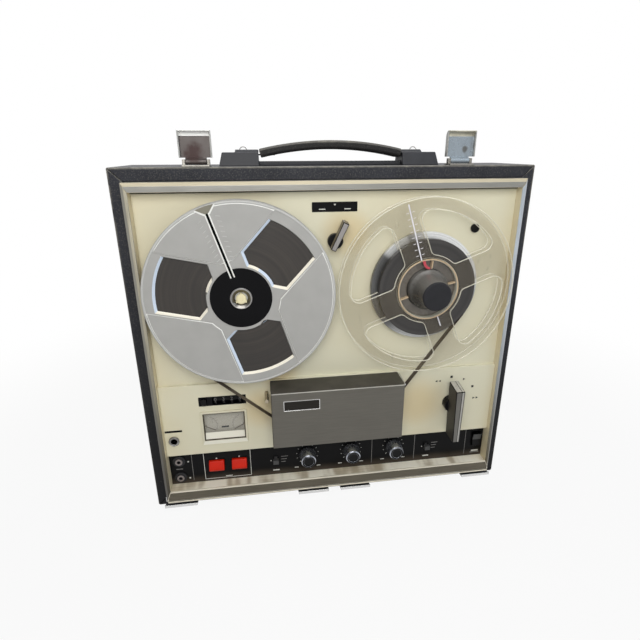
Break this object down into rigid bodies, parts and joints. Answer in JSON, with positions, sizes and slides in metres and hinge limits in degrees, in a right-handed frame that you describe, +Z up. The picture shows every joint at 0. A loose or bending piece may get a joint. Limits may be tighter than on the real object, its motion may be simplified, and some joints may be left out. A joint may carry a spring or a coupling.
{
  "type": "reel-to-reel tape recorder",
  "caption": "Portable upright reel-to-reel tape recorder in a black case, with coupled reels, levers, record buttons, knobs, twin meter, counter, carry strap and latches",
  "frame": {"origin": "under the middle of the whole object's box, at the level of the feet", "axes": "+X to the right seen from the front, +Y from the front to the back, +Z up"},
  "size_m": [0.396, 0.1778, 0.3959],
  "materials": {
    "vinyl_board": "wooden board covered in black grained vinyl",
    "black_moulding": "black moulding",
    "black_rubber": "black rubber",
    "strap_vinyl": "soft black grained strap",
    "bright_steel": "bright plated steel",
    "trim_aluminium": "anodised, brushed along its length",
    "cream_paint": "satin cream paint",
    "black_paint": "satin black paint",
    "chassis_steel": "plated steel",
    "bearing_brass": "sintered bronze and brass",
    "motor_grey": "grey enamel",
    "core_iron": "varnished laminations",
    "board_brown": "paper-based circuit board",
    "head_metal": "polished screening can",
    "table_silver": "turned aluminium",
    "tape_brown": "brown oxide tape",
    "tape_black": "dark oxide tape",
    "reel_grey": "moulded grey polystyrene",
    "reel_clear": "clear polystyrene",
    "meter_cream": "cream moulding",
    "lens_clear": "clear window",
    "needle_black": "black enamel",
    "drum_black": "black number drums",
    "knob_black": "black knob with a bright skirt",
    "red_plastic": "glossy red moulding",
    "lever_brown": "dark grey-brown moulding",
    "cover_brown": "dark grey-brown moulding"
  },
  "bodies": {
    "case": {"case_boards": "vinyl_board", "rear_cover": "black_moulding", "handle_blocks": "black_moulding", "counter_housing": "black_moulding", "microphone_jacks": "black_moulding", "mains_inlet": "black_moulding", "bottom_feet": "black_rubber", "rear_feet": "black_rubber", "drive_belt": "black_rubber", "hinge_plates": "bright_steel", "latch_bases": "bright_steel", "tape_guides": "bright_steel", "headphone_jack": "bright_steel", "rear_screws": "bright_steel", "trim_frame": "trim_aluminium", "deck_panel": "cream_paint", "control_strip": "black_paint", "chassis_plate": "chassis_steel", "head_bracket": "chassis_steel", "bearings": "bearing_brass", "line_jacks": "bearing_brass", "motor_body": "motor_grey", "potentiometers": "motor_grey", "transformer": "core_iron", "amplifier_board": "board_brown", "erase_head": "head_metal", "record_head": "head_metal", "tape_run": "tape_brown", "meter_housing": "meter_cream", "meter_lens": "lens_clear"},
    "supply": {"supply_reel": "reel_grey", "supply_tape": "tape_brown", "supply_table": "table_silver"},
    "take_up": {"take_up_reel": "reel_clear", "take_up_tape": "tape_black", "take_up_table": "table_silver", "reel_cap": "black_rubber"},
    "counter": {"counter_drums": "drum_black"},
    "capstan": {"flywheel": "chassis_steel"},
    "motor": {"motor_rotor": "chassis_steel"},
    "pinch_arm": {"pinch_arm": "chassis_steel"},
    "pinch_roller": {"pinch_roller": "black_rubber"},
    "function_lever": {"function_lever": "lever_brown"},
    "speed_lever": {"speed_lever": "lever_brown"},
    "needle_left": {"needle_left": "needle_black"},
    "needle_right": {"needle_right": "needle_black"},
    "counter_reset": {"counter_reset": "black_moulding"},
    "record_button_left": {"record_button_left": "red_plastic"},
    "record_button_right": {"record_button_right": "red_plastic"},
    "knob_left": {"knob_left": "knob_black"},
    "knob_middle": {"knob_middle": "knob_black"},
    "knob_right": {"knob_right": "knob_black"},
    "slide_left": {"slide_left": "black_moulding"},
    "slide_right": {"slide_right": "black_moulding"},
    "power_switch": {"power_switch": "black_moulding"},
    "handle": {"handle_strap": "strap_vinyl", "handle_pins": "bright_steel"},
    "latch_left": {"latch_left": "bright_steel"},
    "latch_right": {"latch_right": "bright_steel"},
    "head_cover": {"head_cover": "cover_brown"}
  },
  "joints": [
    {"name": "supply_spin", "type": "hinge", "parent": "case", "child": "supply", "pos_m": [-0.0905, -0.0431, 0.2495], "axis": [0, -1, 0], "continuous": true},
    {"name": "take_up_spin", "type": "hinge", "parent": "case", "child": "take_up", "pos_m": [0.0905, -0.0431, 0.2495], "axis": [0, -1, 0], "continuous": true},
    {"name": "counter_roll", "type": "hinge", "parent": "case", "child": "counter", "pos_m": [-0.1177, -0.0396, 0.1352], "axis": [1, 0, 0], "continuous": true},
    {"name": "capstan_spin", "type": "hinge", "parent": "case", "child": "capstan", "pos_m": [0.03, -0.0431, 0.1017], "axis": [0, 1, 0], "continuous": true},
    {"name": "motor_spin", "type": "hinge", "parent": "case", "child": "motor", "pos_m": [-0.07, -0.0431, 0.1287], "axis": [0, 1, 0], "continuous": true},
    {"name": "pinch_swing", "type": "hinge", "parent": "case", "child": "pinch_arm", "pos_m": [0.014, -0.0521, 0.12885], "axis": [0, 1, 0], "range_deg": [0, 6], "stiffness_Nm_per_rad": 0.05, "springref_deg": -5.73},
    {"name": "pinch_spin", "type": "hinge", "parent": "pinch_arm", "child": "pinch_roller", "pos_m": [0.03, -0.0581, 0.11585], "axis": [0, -1, 0], "continuous": true},
    {"name": "function_turn", "type": "hinge", "parent": "case", "child": "function_lever", "pos_m": [0.1305, -0.0496, 0.1125], "axis": [0, 1, 0], "range_deg": [-30, 87]},
    {"name": "speed_turn", "type": "hinge", "parent": "case", "child": "speed_lever", "pos_m": [0, -0.0461, 0.2975], "axis": [0, 1, 0], "range_deg": [-52, 0]},
    {"name": "needle_left_swing", "type": "hinge", "parent": "case", "child": "needle_left", "pos_m": [-0.13775, -0.0441, 0.1023], "axis": [0, -1, 0], "range_deg": [0, 60]},
    {"name": "needle_right_swing", "type": "hinge", "parent": "case", "child": "needle_right", "pos_m": [-0.09765, -0.0441, 0.1023], "axis": [0, 1, 0], "range_deg": [0, 60]},
    {"name": "counter_reset_press", "type": "slide", "parent": "case", "child": "counter_reset", "axis": [0, 1, 0], "range_m": [0, 0.002], "stiffness_N_per_m": 150},
    {"name": "record_left_press", "type": "slide", "parent": "case", "child": "record_button_left", "axis": [0, 1, 0], "range_m": [0, 0.004], "stiffness_N_per_m": 250},
    {"name": "record_right_press", "type": "slide", "parent": "case", "child": "record_button_right", "axis": [0, 1, 0], "range_m": [0, 0.004], "stiffness_N_per_m": 250},
    {"name": "knob_left_turn", "type": "hinge", "parent": "case", "child": "knob_left", "pos_m": [-0.03, -0.0431, 0.0555], "axis": [0, 1, 0], "range_deg": [-150, 150]},
    {"name": "knob_middle_turn", "type": "hinge", "parent": "case", "child": "knob_middle", "pos_m": [0.02, -0.0431, 0.0555], "axis": [0, 1, 0], "range_deg": [-150, 150]},
    {"name": "knob_right_turn", "type": "hinge", "parent": "case", "child": "knob_right", "pos_m": [0.07, -0.0431, 0.0555], "axis": [0, 1, 0], "range_deg": [-150, 150]},
    {"name": "slide_left_move", "type": "slide", "parent": "case", "child": "slide_left", "axis": [0, 0, 1], "range_m": [-0.003, 0.003]},
    {"name": "slide_right_move", "type": "slide", "parent": "case", "child": "slide_right", "axis": [0, 0, 1], "range_m": [-0.003, 0.003]},
    {"name": "power_rock", "type": "hinge", "parent": "case", "child": "power_switch", "pos_m": [0.1716, -0.0391, 0.055], "axis": [1, 0, 0], "range_deg": [-8, 8]},
    {"name": "handle_swing", "type": "hinge", "parent": "case", "child": "handle", "pos_m": [0, -0.0181, 0.376], "axis": [1, 0, 0], "range_deg": [-20, 20]},
    {"name": "latch_left_swing", "type": "hinge", "parent": "case", "child": "latch_left", "pos_m": [-0.123, -0.0351, 0.3692], "axis": [1, 0, 0], "range_deg": [-20, 90]},
    {"name": "latch_right_swing", "type": "hinge", "parent": "case", "child": "latch_right", "pos_m": [0.123, -0.0351, 0.3692], "axis": [1, 0, 0], "range_deg": [-20, 90]},
    {"name": "head_cover_lift", "type": "slide", "parent": "case", "child": "head_cover", "axis": [0, -1, 0], "range_m": [0, 0.045]}
  ],
  "couplings": [
    {"joint": "take_up_spin", "follows": "supply_spin", "ratio": 1.7143},
    {"joint": "counter_roll", "follows": "supply_spin", "ratio": 0.5},
    {"joint": "motor_spin", "follows": "capstan_spin", "ratio": 4.75}
  ]
}
